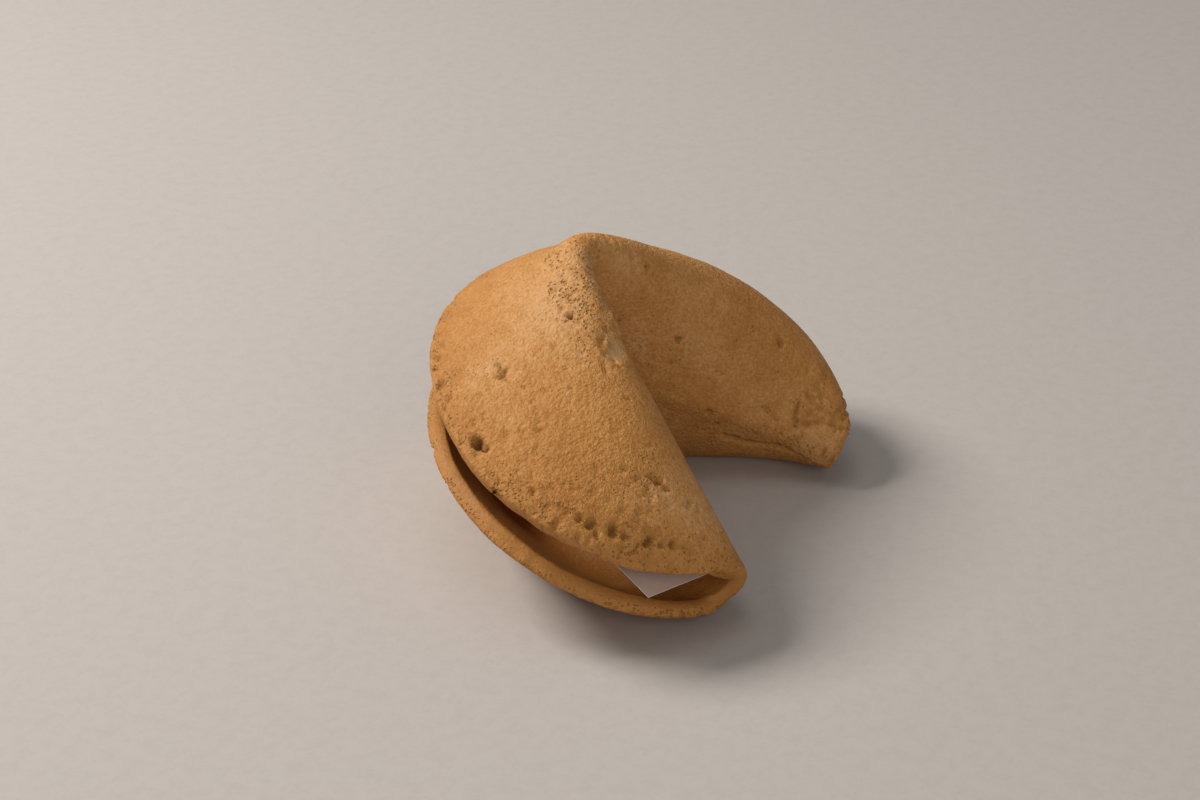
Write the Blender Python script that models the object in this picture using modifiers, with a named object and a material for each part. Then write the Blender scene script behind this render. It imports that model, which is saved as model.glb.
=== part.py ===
"""Fortune cookie: a round wafer folded over a paper slip and bent into two horns.

The wafer starts as a flat disc.  It is folded in half along a straight line, which gives an
upper and a lower layer joined by a rounded fold, and the fold is then bent at its middle, so
that the halves become two horns with an open mouth between them.  A point of the wafer keeps
its flat coordinates as its name: u runs along the fold and v across it, so the upper layer
has v > 0, the near horn u < 0, and the fold itself v = 0.

In the folded frame the fold's middle is the origin, the horns point to -Y and the layers
lie above and below the plane z = 0.  The finished object is tipped onto its lower belly.
"""

import math

import bpy
import numpy as np

# The wafer
WAFER_RADIUS = 0.0400
WAFER_THICKNESS = 0.0022

# Radius of the fold's middle surface at the pinch, and what it gains at each tip
FOLD_RADIUS = 0.0013
NEAR_TIP_OPENING, FAR_TIP_OPENING = 0.0012, 0.0005

# The fold line: an arc at the pinch, then an arm to each horn's tip (degrees from -Y)
PINCH_RADIUS = 0.0014
NEAR_ANGLE, FAR_ANGLE = 26.1, 25.1
NEAR_BOW, FAR_BOW = -0.0021, 0.0018
NEAR_LIFT, FAR_LIFT = -0.0002, -0.0003
BOW_SHAPE = 6.75

# The rim seen along Z: part of an ellipse from tip to tip round the back
RIM_SWEEP = 1.646
RIM_BACK = 0.0105
RIM_GAP = (0.0018, 0.0030, 0.0019)

# How far each layer's rim stands out and up: at the back, on the near and on the far horn
UPPER_RIM_OUT = (0.0023, -0.0004, 0.0)
UPPER_RIM_UP = (-0.0005, 0.0, 0.0)
LOWER_RIM_OUT = (-0.0003, -0.0023, -0.0002)
LOWER_RIM_UP = (-0.0025, 0.0014, 0.0003)

# The belly of a section: the rise of its handles and how they shrink towards the tip
UPPER_RISE, LOWER_RISE = 0.0269, 0.0349
RISE_POWER = 0.63
FOLD_HANDLE = (0.171, 0.276)
RIM_HANDLE = (0.644, 0.525)
UPPER_RIM_RISE, LOWER_RIM_RISE = 0.560, 0.341
TIP_RIM_RISE = 0.227

# Soft swells of the upper layer: u, v, width in u, width in v, height
SWELLS = (
    (-0.0004, 0.0156, 0.0068, 0.0067, -0.00013),
    (0.0012, 0.0233, 0.0050, 0.0056, -0.00101),
    (0.0029, 0.0182, 0.0074, 0.0042, 0.00076),
    (-0.0246, 0.0289, 0.0071, 0.0075, -0.00076),
)

# The crest between the horns is rounded over this width: where it starts, is full, and how
# far it reaches along the fold
CREST_WIDTH = 0.0042
CREST_START, CREST_FULL = 0.0050, 0.0120
CREST_REACH = 0.0070
CREST_WEIGHTS = (1, 4, 6, 4, 1)

# Grid of the wafer, closer together at the fold and at the pinch
GRID_U, GRID_V = 44, 28
GRADE_U, GRADE_V = 1.35, 1.6
SECTION_STEPS = 48
ARC_STEPS = 10
TIP_HOLD = 0.998
LEAST_ROOM = 0.0002

# The slip: its bare corner, its long way (radians from +X), and its curled hidden end
SLIP_CORNER = (-0.0281, -0.0280, -0.00105)
SLIP_TURN = math.radians(71)
SLIP_WIDTH = 0.0115
SLIP_LENGTH = 0.0340
SLIP_FLAT = 0.0220
SLIP_CURL = 0.0200
SLIP_THICKNESS = 0.0003
SLIP_STEPS = 12

# Rest: how the folded frame is turned (degrees) and moved onto the ground
PITCH, ROLL = 24.6, 0.9
SEAT = (0.00038, 0.01057, 0.01882)
FLOOR_SIZE = 0.2

# Linear colours and roughnesses
BAKED_COLOUR, BAKED_ROUGHNESS = (0.45, 0.235, 0.095), 0.62
PAPER_COLOUR, PAPER_ROUGHNESS = (0.62, 0.56, 0.52), 0.8


def by_side(side, near, far):
    """The near horn's value or the far horn's."""
    return np.where(side < 0, near, far)


def fold_line(run, side):
    """Place of the fold at the arc length run from its middle."""
    angle = np.radians(by_side(side, NEAR_ANGLE, FAR_ANGLE))
    turn = PINCH_RADIUS * (math.pi / 2 - angle)
    arc = np.minimum(run, turn) / PINCH_RADIUS
    arm = np.maximum(run - turn, 0)
    part = arm / (WAFER_RADIUS - turn)
    bow = by_side(side, NEAR_BOW, FAR_BOW) * BOW_SHAPE * part**2 * (1 - part)
    x = PINCH_RADIUS * np.sin(arc) + arm * np.sin(angle) + bow * np.cos(angle)
    y = -PINCH_RADIUS * (1 - np.cos(arc)) - arm * np.cos(angle) + bow * np.sin(angle)
    z = by_side(side, NEAR_LIFT, FAR_LIFT) * np.sin(math.pi * part) ** 2
    return side * x, y, z


def along_rim(values, theta, side):
    """Blend of three values round the rim: at the back, on the near and on the far horn."""
    back, near, far = values
    return back * np.cos(theta) ** 4 + by_side(side, near, far) * np.sin(2 * theta) ** 2


def rim_point(theta, side, upper):
    """Place of a layer's rim seen along Z, theta round from the back."""
    out = np.where(
        upper, along_rim(UPPER_RIM_OUT, theta, side), along_rim(LOWER_RIM_OUT, theta, side)
    )
    sweep = RIM_SWEEP * theta
    end = RIM_SWEEP * math.pi / 2
    tip_x, tip_y, _ = fold_line(np.full_like(theta, WAFER_RADIUS), side)
    across = np.abs(tip_x) / math.sin(end)
    deep = (RIM_BACK - tip_y) / (1 - math.cos(end))
    x = side * (across + out) * np.sin(sweep)
    y = RIM_BACK - deep * (1 - np.cos(sweep)) + out * np.cos(sweep)
    return x, y


def section(reach, rim_height, rise, radius, part, upper):
    """Half sections from fold to rim, one to a row: an arc over the fold, then a cubic curve.

    reach is the distance from fold to rim, rim_height the rim's height above the fold, rise
    the height of the handles, radius the fold's, and part runs from 0 at the pinch to 1 at
    a tip.
    """
    handle = FOLD_HANDLE[0] + (FOLD_HANDLE[1] - FOLD_HANDLE[0]) * part
    rim_handle = RIM_HANDLE[0] + (RIM_HANDLE[1] - RIM_HANDLE[0]) * part
    room = reach
    for _ in range(2):
        steep = np.arctan2(rise, room * handle)
        start_x = radius * (1 - np.sin(steep))
        start_z = radius * np.cos(steep)
        room = np.maximum(reach - start_x, LEAST_ROOM)
    rim_rise = np.where(upper, UPPER_RIM_RISE, LOWER_RIM_RISE) + TIP_RIM_RISE * part
    bend = np.linspace(0, 1, ARC_STEPS)[:-1] * (math.pi / 2 - steep)[:, None]
    t = np.linspace(0, 1, SECTION_STEPS)
    weights = ((1 - t) ** 3, 3 * t * (1 - t) ** 2, 3 * t**2 * (1 - t), t**3)
    handles_x = (start_x, start_x + room * handle, reach - room * rim_handle, reach)
    handles_z = (start_z, start_z + rise, rim_height + rise * rim_rise, rim_height)
    curve_x = sum(np.outer(place, weight) for place, weight in zip(handles_x, weights))
    curve_z = sum(np.outer(place, weight) for place, weight in zip(handles_z, weights))
    across = np.concatenate([radius[:, None] * (1 - np.cos(bend)), curve_x], axis=1)
    height = np.concatenate([radius[:, None] * np.sin(bend), curve_z], axis=1)
    return across, height


def point_at(across, height, part):
    """Point of each section at a part of its own length."""
    steps = np.hypot(np.diff(across, axis=1), np.diff(height, axis=1))
    length = np.concatenate([np.zeros((len(steps), 1)), np.cumsum(steps, axis=1)], axis=1)
    wanted = part * length[:, -1]
    row = np.arange(len(part))
    left = np.clip((length <= wanted[:, None]).sum(axis=1) - 1, 0, across.shape[1] - 2)
    gap = np.maximum(length[row, left + 1] - length[row, left], 1e-12)
    blend = (wanted - length[row, left]) / gap
    return (
        across[row, left] * (1 - blend) + across[row, left + 1] * blend,
        height[row, left] * (1 - blend) + height[row, left + 1] * blend,
    )


def folded(u, v):
    """Middle surface of the folded wafer at the flat coordinates u and v."""
    side = np.where(u < 0, -1.0, 1.0)
    upper = v >= 0
    layer = np.where(upper, 1.0, -1.0)
    run = np.abs(u)
    held = np.minimum(run, TIP_HOLD * WAFER_RADIUS)
    part = held / WAFER_RADIUS
    theta = np.arcsin(part)
    fold_x, fold_y, fold_z = fold_line(run, side)
    from_x, from_y, from_z = fold_line(held, side)
    rim_x, rim_y = rim_point(theta, side, upper)
    reach = np.hypot(rim_x - from_x, rim_y - from_y)
    radius = FOLD_RADIUS + by_side(side, NEAR_TIP_OPENING, FAR_TIP_OPENING) * part**2
    up = np.where(
        upper, along_rim(UPPER_RIM_UP, theta, side), along_rim(LOWER_RIM_UP, theta, side)
    )
    rim_height = radius + along_rim(RIM_GAP, theta, side) / 2 + layer * (up - from_z)
    rise = np.where(upper, UPPER_RISE, LOWER_RISE) * (1 - part) ** RISE_POWER
    across, height = section(reach, rim_height, rise, radius, part, upper)
    width = np.sqrt(WAFER_RADIUS**2 - held**2)
    over, above = point_at(across, height, np.clip(np.abs(v) / width, 0, 1))
    return np.stack(
        [
            fold_x + over * (rim_x - from_x) / reach,
            fold_y + over * (rim_y - from_y) / reach,
            fold_z + layer * above,
        ],
        axis=-1,
    )


def rounded(u, v):
    """The folded wafer with its crest rounded, by an average over places along the fold."""
    part = np.clip((np.abs(v) - CREST_START) / (CREST_FULL - CREST_START), 0, 1)
    width = CREST_WIDTH * part**2 * (3 - 2 * part) * np.exp(-((u / CREST_REACH) ** 2))
    steps = np.linspace(-1, 1, len(CREST_WEIGHTS))
    places = [folded(u + step * width, v) * weight for step, weight in zip(steps, CREST_WEIGHTS)]
    return sum(places) / sum(CREST_WEIGHTS)


def swollen(u, v):
    """The folded wafer with the soft swells of its upper layer added along its normals."""
    place = rounded(u, v)
    step = WAFER_RADIUS * 1e-3
    along_u = rounded(u + step, v) - rounded(u - step, v)
    along_v = rounded(u, v + step) - rounded(u, v - step)
    normal = np.cross(along_u, along_v)
    normal /= np.linalg.norm(normal, axis=1, keepdims=True) + 1e-15
    height = np.zeros_like(u)
    for swell_u, swell_v, wide_u, wide_v, tall in SWELLS:
        spread = ((u - swell_u) / wide_u) ** 2 + ((v - swell_v) / wide_v) ** 2
        height += tall * np.exp(-spread) * (v > 0)
    return place + normal * height[:, None]


def graded(count, power):
    """Places from -1 to 1 that crowd together round 0."""
    even = np.linspace(-1, 1, count + 1)
    return np.sign(even) * np.abs(even) ** power


def grid_mesh(name, places, columns):
    """Mesh of one open surface whose points run in rows of the given number of columns."""
    index = np.arange(len(places)).reshape(-1, columns)
    quads = np.stack(
        [index[:-1, :-1], index[1:, :-1], index[1:, 1:], index[:-1, 1:]], axis=-1
    )
    mesh = bpy.data.meshes.new(name)
    mesh.from_pydata(places.tolist(), [], quads.reshape(-1, 4).tolist())
    mesh.shade_smooth()
    return mesh


def new_object(name, mesh, collection):
    """Object of a mesh, linked to a collection."""
    made = bpy.data.objects.new(name, mesh)
    collection.objects.link(made)
    return made


def material(name, colour, roughness):
    """Plain Principled material."""
    made = bpy.data.materials.new(name)
    made.use_nodes = True
    surface = made.node_tree.nodes["Principled BSDF"]
    surface.inputs["Base Color"].default_value = (*colour, 1)
    surface.inputs["Roughness"].default_value = roughness
    return made


def wafer_mesh():
    """Middle surface of the shell, on a square grid that maps onto the round wafer."""
    across, along = np.meshgrid(
        graded(GRID_U, GRADE_U), graded(GRID_V, GRADE_V), indexing="ij"
    )
    u = WAFER_RADIUS * across * np.sqrt(1 - along**2 / 2)
    v = WAFER_RADIUS * along * np.sqrt(1 - across**2 / 2)
    return grid_mesh("cookie_shell", swollen(u.ravel(), v.ravel()), GRID_V + 1)


def slip_mesh():
    """Middle surface of the paper slip: flat at its bare corner, curled up at its hidden end."""
    long_way = np.array([math.cos(SLIP_TURN), math.sin(SLIP_TURN), 0])
    wide_way = np.array([math.sin(SLIP_TURN), -math.cos(SLIP_TURN), 0])
    run = np.linspace(0, SLIP_LENGTH, SLIP_STEPS + 1)
    bend = np.maximum(run - SLIP_FLAT, 0) / SLIP_CURL
    ahead = np.minimum(run, SLIP_FLAT) + SLIP_CURL * np.sin(bend)
    climb = SLIP_CURL * (1 - np.cos(bend))
    rows = np.array(SLIP_CORNER) + np.outer(ahead, long_way)
    rows[:, 2] += climb
    edges = np.stack([rows, rows + wide_way * SLIP_WIDTH], axis=1)
    return grid_mesh("fortune_slip", edges.reshape(-1, 3), 2)


def thicken(made, thickness):
    """Give an open surface its thickness, half to each side."""
    solid = made.modifiers.new("thickness", "SOLIDIFY")
    solid.thickness = thickness
    solid.offset = 0
    solid.use_quality_normals = True


def tip(made):
    """Stand a piece of the folded frame on the ground."""
    made.rotation_euler = (math.radians(PITCH), math.radians(ROLL), 0)
    made.location = SEAT


def flat_feet(made, cutters):
    """Cut small flat spots where the shell rests."""
    bpy.ops.mesh.primitive_cube_add(size=FLOOR_SIZE, location=(0, 0, -FLOOR_SIZE / 2))
    floor = bpy.context.active_object
    floor.name = "floor_cutter"
    for owner in list(floor.users_collection):
        owner.objects.unlink(floor)
    cutters.objects.link(floor)
    floor.display_type = "WIRE"
    floor.hide_render = True
    cut = made.modifiers.new("feet", "BOOLEAN")
    cut.operation = "DIFFERENCE"
    cut.object = floor


def main():
    """Build the shell and the slip in their collection."""
    for old in list(bpy.data.objects):
        bpy.data.objects.remove(old)
    cookie = bpy.data.collections.new("fortune_cookie")
    cutters = bpy.data.collections.new("cutters")
    bpy.context.scene.collection.children.link(cookie)
    bpy.context.scene.collection.children.link(cutters)

    shell = new_object("cookie_shell", wafer_mesh(), cookie)
    shell.data.materials.append(material("baked_wafer", BAKED_COLOUR, BAKED_ROUGHNESS))
    thicken(shell, WAFER_THICKNESS)
    tip(shell)
    flat_feet(shell, cutters)

    slip = new_object("fortune_slip", slip_mesh(), cookie)
    slip.data.materials.append(material("slip_paper", PAPER_COLOUR, PAPER_ROUGHNESS))
    thicken(slip, SLIP_THICKNESS)
    tip(slip)


main()
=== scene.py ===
"""Fortune cookie: a round wafer folded over a paper slip and bent into two horns.

The wafer starts as a flat disc and a point of it keeps its flat coordinates as its name: u
runs along the fold and v across it, so the upper layer has v > 0 and the near horn u < 0.
The shell's skins, pores, cracks and rim are worked out over those flat coordinates and then
carried onto the folded shape.  Lengths are metres, apart from the crust's relief, whose
places and sizes are millimetres of the flat wafer.
"""

import logging
import math
from dataclasses import dataclass, field
from enum import Enum

import bpy
import numpy as np
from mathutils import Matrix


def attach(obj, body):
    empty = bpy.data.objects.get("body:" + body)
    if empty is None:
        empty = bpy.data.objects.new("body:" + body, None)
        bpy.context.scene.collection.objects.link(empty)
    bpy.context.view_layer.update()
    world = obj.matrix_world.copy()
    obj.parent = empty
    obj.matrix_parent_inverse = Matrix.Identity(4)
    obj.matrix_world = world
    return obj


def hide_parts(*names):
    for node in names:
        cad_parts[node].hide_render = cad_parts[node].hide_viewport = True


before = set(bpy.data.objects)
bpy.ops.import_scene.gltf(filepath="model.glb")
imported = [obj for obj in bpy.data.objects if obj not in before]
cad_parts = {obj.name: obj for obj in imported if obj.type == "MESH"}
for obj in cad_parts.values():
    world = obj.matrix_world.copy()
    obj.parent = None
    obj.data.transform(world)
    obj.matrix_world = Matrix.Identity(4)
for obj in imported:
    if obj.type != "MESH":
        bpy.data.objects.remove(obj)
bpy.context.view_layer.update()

MM = 0.001
TINY = 1e-15
LEAST_STEP = 1e-12
NOISE_TABLE = 256
CROWD_SAMPLES = 4001
MIX_COLOURS, MIX_RESULT = (6, 7), 2
PIT_PATCHES = 420.0
PIT_SIZES = ((0.54, 1.06), (0.0, 0.50))
PIT_EDGE = 0.22
OPEN_WEIGHT, FINE_WEIGHT, PIT_WEIGHT = 0.55, 0.7, 0.8
TONE_NOISES = ((150.0, 0.30), (620.0, 0.32), (2600.0, 0.62))
LOG = logging.getLogger("fortune_cookie")


class Skin(Enum):
    """The two skins of the wafer; the value is the side of the middle surface."""

    OUTER = 1.0
    INNER = -1.0


def smooth_step(low: float, high: float, values: np.ndarray) -> np.ndarray:
    """Ramp from 0 at low to 1 at high, level at both ends.

    Args:
        low: where the ramp starts.
        high: where the ramp ends.
        values: the places to read it at.

    Returns:
        The ramp's height, 3t^2 - 2t^3 of the clipped part t of the way.
    """
    part = np.clip((values - low) / (high - low), 0, 1)
    return part * part * (3 - 2 * part)


def lattice_noise(x: np.ndarray, y: np.ndarray, size: float, seed: int) -> np.ndarray:
    """Smooth noise: random heights on a square lattice, blended by a smooth step between them.

    Args:
        x: first coordinate.
        y: second coordinate.
        size: spacing of the lattice.
        seed: number of the random table.

    Returns:
        Heights from -1 to 1.
    """
    table = np.random.default_rng(seed).uniform(-1, 1, (NOISE_TABLE, NOISE_TABLE))
    column, row = np.floor(x / size), np.floor(y / size)
    over, above = x / size - column, y / size - row
    over, above = over * over * (3 - 2 * over), above * above * (3 - 2 * above)
    left, low = column.astype(int) % NOISE_TABLE, row.astype(int) % NOISE_TABLE
    right, high = (left + 1) % NOISE_TABLE, (low + 1) % NOISE_TABLE
    lower = table[left, low] * (1 - over) + table[right, low] * over
    upper = table[left, high] * (1 - over) + table[right, high] * over
    return lower * (1 - above) + upper * above


@dataclass(frozen=True)
class Ripple:
    """One layer of noise over flat coordinates: its height, its wave size and its seed."""

    height: float
    size: float
    seed: int
    shift_u: float = 0.0
    shift_v: float = 0.0

    def over(self, u: np.ndarray, v: np.ndarray) -> np.ndarray:
        """Height of the noise at each place."""
        return self.height * lattice_noise(u + self.shift_u, v + self.shift_v, self.size, self.seed)


@dataclass(frozen=True)
class Bell:
    """One soft patch over flat coordinates: its middle, its two widths and its height."""

    u: float
    v: float
    wide_u: float
    wide_v: float
    height: float

    def over(self, u: np.ndarray, v: np.ndarray) -> np.ndarray:
        """Height times e to minus the sum of both squared distances in widths."""
        spread = ((u - self.u) / self.wide_u) ** 2 + ((v - self.v) / self.wide_v) ** 2
        return self.height * np.exp(-spread)


def heaped(layers: tuple[Ripple | Bell, ...], u: np.ndarray, v: np.ndarray) -> np.ndarray:
    """Sum of noise layers or of soft patches at flat places."""
    return sum(layer.over(u, v) for layer in layers)


def grid_normals(points: np.ndarray) -> np.ndarray:
    """Unit normals of a grid of points: the cross product of its differences both ways."""
    normal = np.cross(np.gradient(points, axis=0), np.gradient(points, axis=1))
    return normal / (np.linalg.norm(normal, axis=2, keepdims=True) + TINY)


def new_piece(name: str, places: np.ndarray, faces: list[list[int]]) -> bpy.types.Object:
    """Object of a smooth mesh, linked to the scene.

    Args:
        name: the piece's name.
        places: one row of x, y and z for each point.
        faces: the corners of each face.

    Returns:
        The new object, at the origin.
    """
    mesh = bpy.data.meshes.new(name)
    mesh.from_pydata(places.tolist(), [], faces)
    mesh.shade_smooth()
    made = bpy.data.objects.new(name, mesh)
    bpy.context.scene.collection.objects.link(made)
    return made


@dataclass(frozen=True)
class Crowding:
    """How a grid's lines crowd together: at both ends, at the middle and over a stretch."""

    ends: float
    end_width: float
    middle: float
    middle_width: float
    stretch: float = 0.0
    stretch_at: float = 0.0
    stretch_width: float = 1.0

    def density(self, place: np.ndarray) -> np.ndarray:
        """1 plus a bell at each end, one at the middle and one over the stretch."""
        from_end = (1 - np.abs(place)) / self.end_width
        from_stretch = (place - self.stretch_at) / self.stretch_width
        return (
            1
            + self.ends * np.exp(-(from_end**2))
            + self.middle * np.exp(-((place / self.middle_width) ** 2))
            + self.stretch * np.exp(-(from_stretch**2))
        )


def spaced(count: int, crowd: Crowding) -> np.ndarray:
    """Places from -1 to 1 with the same part of the crowding's total between neighbours.

    Args:
        count: number of steps.
        crowd: how close the places lie along the way.

    Returns:
        count + 1 places, with the middle one at 0.
    """
    fine = np.linspace(-1, 1, CROWD_SAMPLES)
    wanted = crowd.density(fine)
    total = np.concatenate([[0], np.cumsum((wanted[1:] + wanted[:-1]) / 2)])
    middle = np.interp(0, fine, total)
    near = np.interp(np.linspace(0, middle, count // 2 + 1), total, fine)
    far = np.interp(np.linspace(middle, total[-1], count // 2 + 1), total, fine)
    return np.concatenate([near, far[1:]])


@dataclass(frozen=True)
class WaferFold:
    """Shape of the folded wafer's middle surface, in the folded frame.

    The fold's middle is the origin, the horns point to -Y and the layers lie above and
    below the plane z = 0.
    """

    wafer_radius: float = 0.0400
    fold_radius: float = 0.0013
    tip_opening: tuple[float, float] = (0.0012, 0.0005)
    pinch_radius: float = 0.0014
    angle: tuple[float, float] = (26.1, 25.1)
    bow: tuple[float, float] = (-0.0021, 0.0018)
    lift: tuple[float, float] = (-0.0002, -0.0003)
    bow_shape: float = 6.75
    rim_sweep: float = 1.646
    rim_back: float = 0.0105
    rim_gap: tuple[float, float, float] = (0.0018, 0.0030, 0.0019)
    upper_rim_out: tuple[float, float, float] = (0.0023, -0.0004, 0.0)
    upper_rim_up: tuple[float, float, float] = (-0.0005, 0.0, 0.0)
    lower_rim_out: tuple[float, float, float] = (-0.0003, -0.0023, -0.0002)
    lower_rim_up: tuple[float, float, float] = (-0.0025, 0.0014, 0.0003)
    rise: tuple[float, float] = (0.0269, 0.0349)
    rise_power: float = 0.63
    fold_handle: tuple[float, float] = (0.171, 0.276)
    rim_handle: tuple[float, float] = (0.644, 0.525)
    rim_rise: tuple[float, float] = (0.560, 0.341)
    tip_rim_rise: float = 0.227
    swells: tuple[Bell, ...] = (
        Bell(-0.0004, 0.0156, 0.0068, 0.0067, -0.00013),
        Bell(0.0012, 0.0233, 0.0050, 0.0056, -0.00101),
        Bell(0.0029, 0.0182, 0.0074, 0.0042, 0.00076),
        Bell(-0.0246, 0.0289, 0.0071, 0.0075, -0.00076),
    )
    crest_width: float = 0.0042
    crest_start: tuple[float, float] = (0.0050, 0.0120)
    crest_reach: float = 0.0070
    crest_weights: tuple[int, ...] = (1, 4, 6, 4, 1)
    section_steps: int = 48
    arc_steps: int = 10
    tip_hold: float = 0.998
    least_room: float = 0.0002

    def fold_line(self, run: np.ndarray, side: np.ndarray) -> tuple[np.ndarray, ...]:
        """Place of the fold: an arc at the pinch, then a bowed arm to the horn's tip.

        Args:
            run: arc length from the fold's middle.
            side: -1 on the near horn and 1 on the far one.

        Returns:
            The x, y and z of the fold.
        """
        angle = np.radians(np.where(side < 0, *self.angle))
        turn = self.pinch_radius * (math.pi / 2 - angle)
        arc = np.minimum(run, turn) / self.pinch_radius
        arm = np.maximum(run - turn, 0)
        part = arm / (self.wafer_radius - turn)
        bow = np.where(side < 0, *self.bow) * self.bow_shape * part**2 * (1 - part)
        x = self.pinch_radius * np.sin(arc) + arm * np.sin(angle) + bow * np.cos(angle)
        y = -self.pinch_radius * (1 - np.cos(arc)) - arm * np.cos(angle) + bow * np.sin(angle)
        z = np.where(side < 0, *self.lift) * np.sin(math.pi * part) ** 2
        return side * x, y, z

    def along_rim(
        self, values: tuple[float, float, float], theta: np.ndarray, side: np.ndarray
    ) -> np.ndarray:
        """Blend of the values at the back, on the near and on the far horn.

        Args:
            values: the three values.
            theta: angle round the rim from the back.
            side: -1 on the near horn and 1 on the far one.

        Returns:
            back * cos^4 plus the horn's value * sin^2 of twice the angle.
        """
        back, near, far = values
        horn = np.where(side < 0, near, far)
        return back * np.cos(theta) ** 4 + horn * np.sin(2 * theta) ** 2

    def rim_point(
        self, theta: np.ndarray, side: np.ndarray, upper: np.ndarray
    ) -> tuple[np.ndarray, np.ndarray]:
        """Place of a layer's rim seen along Z: part of an ellipse from tip to tip.

        Args:
            theta: angle round the rim from the back.
            side: -1 on the near horn and 1 on the far one.
            upper: true on the upper layer.

        Returns:
            The x and y of the rim.
        """
        out = np.where(
            upper,
            self.along_rim(self.upper_rim_out, theta, side),
            self.along_rim(self.lower_rim_out, theta, side),
        )
        sweep = self.rim_sweep * theta
        end = self.rim_sweep * math.pi / 2
        tip_x, tip_y, _ = self.fold_line(np.full_like(theta, self.wafer_radius), side)
        across = np.abs(tip_x) / math.sin(end)
        deep = (self.rim_back - tip_y) / (1 - math.cos(end))
        x = side * (across + out) * np.sin(sweep)
        y = self.rim_back - deep * (1 - np.cos(sweep)) + out * np.cos(sweep)
        return x, y

    def section(
        self,
        reach: np.ndarray,
        rim_height: np.ndarray,
        rise: np.ndarray,
        radius: np.ndarray,
        part: np.ndarray,
        upper: np.ndarray,
    ) -> tuple[np.ndarray, np.ndarray]:
        """Half sections from fold to rim, one to a row: an arc over the fold, then a cubic.

        Args:
            reach: distance from fold to rim.
            rim_height: height of the rim over the fold.
            rise: height of the cubic's handles.
            radius: the fold's radius.
            part: 0 at the pinch to 1 at a tip.
            upper: true on the upper layer.

        Returns:
            Distances across and heights along each section.
        """
        handle = self.fold_handle[0] + (self.fold_handle[1] - self.fold_handle[0]) * part
        rim_handle = self.rim_handle[0] + (self.rim_handle[1] - self.rim_handle[0]) * part
        room = reach
        for _ in range(2):
            steep = np.arctan2(rise, room * handle)
            start_x = radius * (1 - np.sin(steep))
            start_z = radius * np.cos(steep)
            room = np.maximum(reach - start_x, self.least_room)
        rim_rise = np.where(upper, *self.rim_rise) + self.tip_rim_rise * part
        bend = np.linspace(0, 1, self.arc_steps)[:-1] * (math.pi / 2 - steep)[:, None]
        t = np.linspace(0, 1, self.section_steps)
        weights = ((1 - t) ** 3, 3 * t * (1 - t) ** 2, 3 * t**2 * (1 - t), t**3)
        handles_x = (start_x, start_x + room * handle, reach - room * rim_handle, reach)
        handles_z = (start_z, start_z + rise, rim_height + rise * rim_rise, rim_height)
        curve_x = sum(np.outer(place, weight) for place, weight in zip(handles_x, weights))
        curve_z = sum(np.outer(place, weight) for place, weight in zip(handles_z, weights))
        across = np.concatenate([radius[:, None] * (1 - np.cos(bend)), curve_x], axis=1)
        height = np.concatenate([radius[:, None] * np.sin(bend), curve_z], axis=1)
        return across, height

    @staticmethod
    def point_at(
        across: np.ndarray, height: np.ndarray, part: np.ndarray
    ) -> tuple[np.ndarray, np.ndarray]:
        """Point of each section at a part of its own length.

        Args:
            across: distances across, one section to a row.
            height: heights, one section to a row.
            part: 0 at the fold to 1 at the rim.

        Returns:
            The distance across and the height of each point.
        """
        steps = np.hypot(np.diff(across, axis=1), np.diff(height, axis=1))
        length = np.concatenate([np.zeros((len(steps), 1)), np.cumsum(steps, axis=1)], axis=1)
        wanted = part * length[:, -1]
        row = np.arange(len(part))
        left = np.clip((length <= wanted[:, None]).sum(axis=1) - 1, 0, across.shape[1] - 2)
        gap = np.maximum(length[row, left + 1] - length[row, left], LEAST_STEP)
        blend = (wanted - length[row, left]) / gap
        return (
            across[row, left] * (1 - blend) + across[row, left + 1] * blend,
            height[row, left] * (1 - blend) + height[row, left + 1] * blend,
        )

    def folded(self, u: np.ndarray, v: np.ndarray) -> np.ndarray:
        """Middle surface at flat coordinates.

        Args:
            u: place along the fold.
            v: place across the fold.

        Returns:
            One row of x, y and z for each point.
        """
        side = np.where(u < 0, -1.0, 1.0)
        upper = v >= 0
        layer = np.where(upper, 1.0, -1.0)
        run = np.abs(u)
        held = np.minimum(run, self.tip_hold * self.wafer_radius)
        part = held / self.wafer_radius
        theta = np.arcsin(part)
        fold_x, fold_y, fold_z = self.fold_line(run, side)
        from_x, from_y, from_z = self.fold_line(held, side)
        rim_x, rim_y = self.rim_point(theta, side, upper)
        reach = np.hypot(rim_x - from_x, rim_y - from_y)
        radius = self.fold_radius + np.where(side < 0, *self.tip_opening) * part**2
        up = np.where(
            upper,
            self.along_rim(self.upper_rim_up, theta, side),
            self.along_rim(self.lower_rim_up, theta, side),
        )
        gap = self.along_rim(self.rim_gap, theta, side)
        rim_height = radius + gap / 2 + layer * (up - from_z)
        rise = np.where(upper, *self.rise) * (1 - part) ** self.rise_power
        across, height = self.section(reach, rim_height, rise, radius, part, upper)
        width = np.sqrt(self.wafer_radius**2 - held**2)
        over, above = self.point_at(across, height, np.clip(np.abs(v) / width, 0, 1))
        return np.stack(
            [
                fold_x + over * (rim_x - from_x) / reach,
                fold_y + over * (rim_y - from_y) / reach,
                fold_z + layer * above,
            ],
            axis=-1,
        )

    def rounded(self, u: np.ndarray, v: np.ndarray) -> np.ndarray:
        """The folded wafer with the crest between its horns rounded.

        Args:
            u: place along the fold.
            v: place across the fold.

        Returns:
            The weighted average of five places along the fold, close to the crest.
        """
        across = smooth_step(*self.crest_start, np.abs(v))
        width = self.crest_width * across * np.exp(-((u / self.crest_reach) ** 2))
        steps = np.linspace(-1, 1, len(self.crest_weights))
        places = [
            self.folded(u + step * width, v) * weight
            for step, weight in zip(steps, self.crest_weights)
        ]
        return sum(places) / sum(self.crest_weights)

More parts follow.
